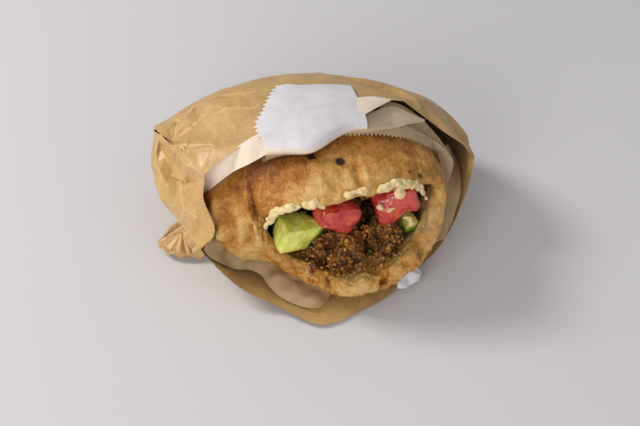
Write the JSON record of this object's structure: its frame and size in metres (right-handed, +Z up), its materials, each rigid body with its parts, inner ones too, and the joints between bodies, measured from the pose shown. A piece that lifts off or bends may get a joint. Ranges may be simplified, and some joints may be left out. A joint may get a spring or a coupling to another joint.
{
  "type": "falafel pita",
  "caption": "Stuffed round pocket bread with fried chickpea balls, tomato and cucumber, in an open lined kraft paper bag lying on its side.",
  "frame": {"origin": "the middle of the footprint, at the height the bag rests on", "axes": "+X to the right of someone facing the open mouth, -Y out of the mouth, +Z up"},
  "size_m": [0.1565, 0.1439, 0.0786],
  "materials": {
    "kraft_paper": "matt brown kraft paper, a little crumpled",
    "thin_white_paper": "thin translucent white paper",
    "bread_crust": "toasted bread crust, mottled",
    "salad_bed": "damp crumbs and herbs",
    "falafel": "coarse dark fried crust",
    "tomato": "wet cut flesh",
    "cucumber": "wet cut flesh with dark green skin",
    "hummus": "soft chickpea paste, satin"
  },
  "bodies": {
    "root": {"paper_bag": "kraft_paper", "liner_paper": "thin_white_paper", "pita": "bread_crust", "filling": "salad_bed", "falafel_front": "falafel", "falafel_right": "falafel", "falafel_back": "falafel", "tomato_left": "tomato", "tomato_right": "tomato", "cucumber_front": "cucumber", "cucumber_side": "cucumber", "hummus_left": "hummus", "hummus_middle": "hummus", "hummus_right": "hummus"}
  },
  "joints": []
}
